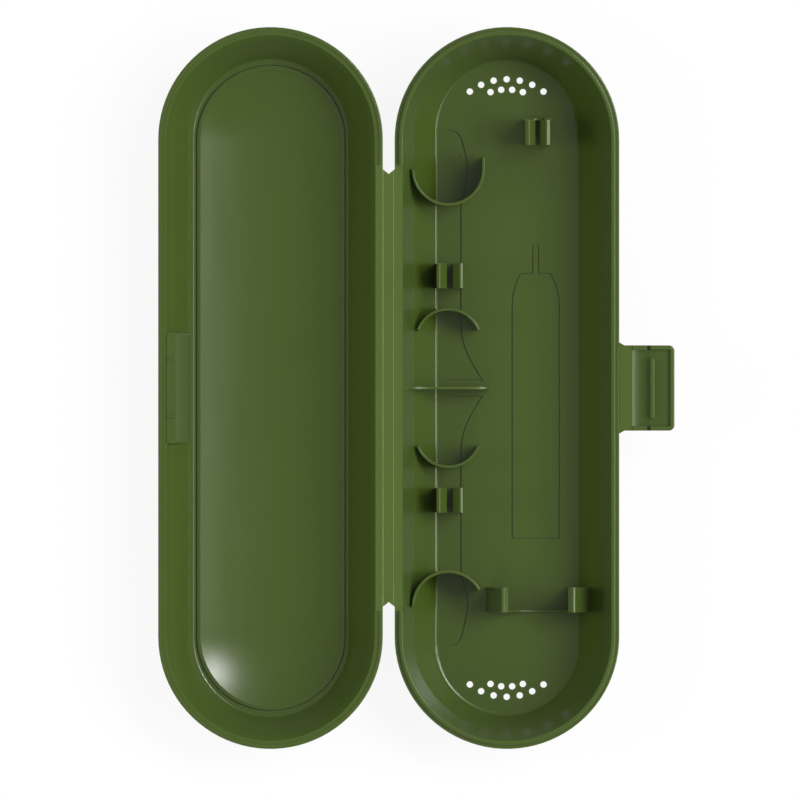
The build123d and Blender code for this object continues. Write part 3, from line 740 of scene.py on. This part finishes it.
def world_room(settings):
    """White to the camera, and to everything else an even room with soft glows in its sky."""
    build_soft_glow()
    world = bpy.data.worlds.new("studio_room")
    world.use_nodes = True
    tree = world.node_tree
    tree.nodes.clear()
    leave = tree.nodes.new("ShaderNodeOutputWorld")
    sky = tree.nodes.new("ShaderNodeTexCoord").outputs["Generated"]
    path = tree.nodes.new("ShaderNodeLightPath")

    key = direction(settings.key_azimuth, settings.key_elevation)
    side = direction(0, WASH_ELEVATION)
    behind_flag = direction(FLAG_AZIMUTH, FLAG_ELEVATION)
    core = glow(tree, sky, key, KEY_CORE_SPREAD, settings.core_strength)
    halo = glow(tree, sky, key, KEY_HALO_SPREAD, settings.halo_strength)
    wash = glow(tree, sky, side, WASH_SPREAD, settings.wash_strength, WASH_STRETCH)
    flag = glow(tree, sky, behind_flag, FLAG_SPREAD, -settings.flag_strength)
    glows = total(tree, total(tree, core, halo), total(tree, wash, flag))

    # The lamps do most of the lighting: only the gloss mirrors the glows in full
    share = math_node(tree, "MAXIMUM", path.outputs["Is Glossy Ray"], settings.glow_light)
    lit = product(tree, glows, share)
    room = tree.nodes.new("ShaderNodeBackground")
    room.inputs["Color"].default_value = (1, 1, 1, 1)
    tree.links.new(total(tree, lit, settings.room_strength), room.inputs["Strength"])
    seen = tree.nodes.new("ShaderNodeBackground")
    seen.inputs["Color"].default_value = (1, 1, 1, 1)
    seen.inputs["Strength"].default_value = 1.0
    tree.links.new(
        two_shaders(tree, path.outputs["Is Camera Ray"], room, seen), leave.inputs["Surface"]
    )
    bpy.context.scene.world = world


def floor_paper():
    """Matt paper that is white to the camera and keeps a faint shadow."""
    material = bpy.data.materials.new("floor_paper")
    material.use_nodes = True
    tree = material.node_tree
    tree.nodes.clear()
    leave = tree.nodes.new("ShaderNodeOutputMaterial")
    paper = tree.nodes.new("ShaderNodeBsdfDiffuse")
    paper.inputs["Color"].default_value = (PAPER_GREY, PAPER_GREY, PAPER_GREY, 1)
    shine = tree.nodes.new("ShaderNodeEmission")
    shine.inputs["Strength"].default_value = 1.0
    path = tree.nodes.new("ShaderNodeLightPath")
    mirrored = math_node(
        tree, "MAXIMUM", path.outputs["Is Glossy Ray"], path.outputs["Is Transmission Ray"]
    )
    seen = math_node(tree, "MAXIMUM", path.outputs["Is Camera Ray"], mirrored)
    share = product(tree, seen, PAPER_GLOW_SHARE)
    tree.links.new(two_shaders(tree, share, paper, shine), leave.inputs["Surface"])
    return material


def soft_lamp(name, azimuth, elevation, power):
    """A round area lamp that lights the case without being mirrored in its gloss."""
    toward = direction(azimuth, elevation)
    data = bpy.data.lights.new(name, "AREA")
    data.shape = "DISK"
    data.size = LAMP_SIZE
    data.energy = power
    lamp = bpy.data.objects.new(name, data)
    lamp.location = LAMP_TARGET + toward * LAMP_DISTANCE
    lamp.rotation_euler = (-toward).to_track_quat("-Z", "Y").to_euler()
    lamp.visible_camera = False
    lamp.visible_glossy = False
    bpy.context.scene.collection.objects.link(lamp)


class CASE_OT_stage(bpy.types.Operator):
    """Set up the white paper, the room, the soft lamps and the camera straight above"""

    bl_idname = "case.stage"
    bl_label = "Stage"

    def execute(self, context):
        scene = context.scene
        settings = scene.case_stage

        sheet = bmesh.new()
        bmesh.ops.create_grid(sheet, x_segments=1, y_segments=1, size=PAPER_REACH)
        bmesh.ops.translate(sheet, verts=sheet.verts, vec=(0, 0, -PAPER_DROP))
        data = bpy.data.meshes.new("studio_floor")
        sheet.to_mesh(data)
        sheet.free()
        floor = bpy.data.objects.new("studio_floor", data)
        scene.collection.objects.link(floor)
        data.materials.append(floor_paper())

        world_room(settings)
        soft_lamp("right_lamp", RIGHT_LAMP_AZIMUTH, RIGHT_LAMP_ELEVATION, settings.right_power)
        soft_lamp("left_lamp", math.pi, LOW_LAMP_ELEVATION, settings.left_power)
        soft_lamp("near_lamp", -math.pi / 2, LOW_LAMP_ELEVATION, settings.near_power)

        data = bpy.data.cameras.new("camera_above")
        data.lens = settings.lens
        data.sensor_width = SENSOR_WIDTH
        camera = bpy.data.objects.new("camera_above", data)
        distance = settings.frame_width * settings.lens / SENSOR_WIDTH
        camera.location = (*settings.frame_centre, RIM_HEIGHT + distance)
        data.clip_end = 2 * distance
        scene.collection.objects.link(camera)
        scene.camera = camera

        scene.view_settings.view_transform = "Standard"
        return {"FINISHED"}


class CASE_PT_dresser(bpy.types.Panel):
    """Steps that dress the travel case"""

    bl_label = "Travel Case"
    bl_idname = "CASE_PT_dresser"
    bl_space_type = "VIEW_3D"
    bl_region_type = "UI"
    bl_category = "Travel Case"

    def draw(self, context):
        column = self.layout.column()
        for step in STEPS:
            column.operator(step.bl_idname)
        for group in ("case_plastic", "case_web", "case_stage"):
            settings = getattr(context.scene, group)
            box = self.layout.box()
            for name in settings.__annotations__:
                box.prop(settings, name)


STEPS = (CASE_OT_plastics, CASE_OT_moulded_pieces, CASE_OT_folding_webs, CASE_OT_stage)
CLASSES = (CASE_PG_plastic, CASE_PG_web, CASE_PG_stage, *STEPS, CASE_PT_dresser)


def register():
    for item in CLASSES:
        bpy.utils.register_class(item)
    bpy.types.Scene.case_plastic = bpy.props.PointerProperty(type=CASE_PG_plastic)
    bpy.types.Scene.case_web = bpy.props.PointerProperty(type=CASE_PG_web)
    bpy.types.Scene.case_stage = bpy.props.PointerProperty(type=CASE_PG_stage)


def unregister():
    del bpy.types.Scene.case_stage
    del bpy.types.Scene.case_web
    del bpy.types.Scene.case_plastic
    for item in reversed(CLASSES):
        bpy.utils.unregister_class(item)


def main():
    register()
    bpy.ops.case.plastics()
    bpy.ops.case.moulded_pieces()
    bpy.ops.case.folding_webs()
    bpy.ops.case.stage()


if __name__ == "__main__":
    main()
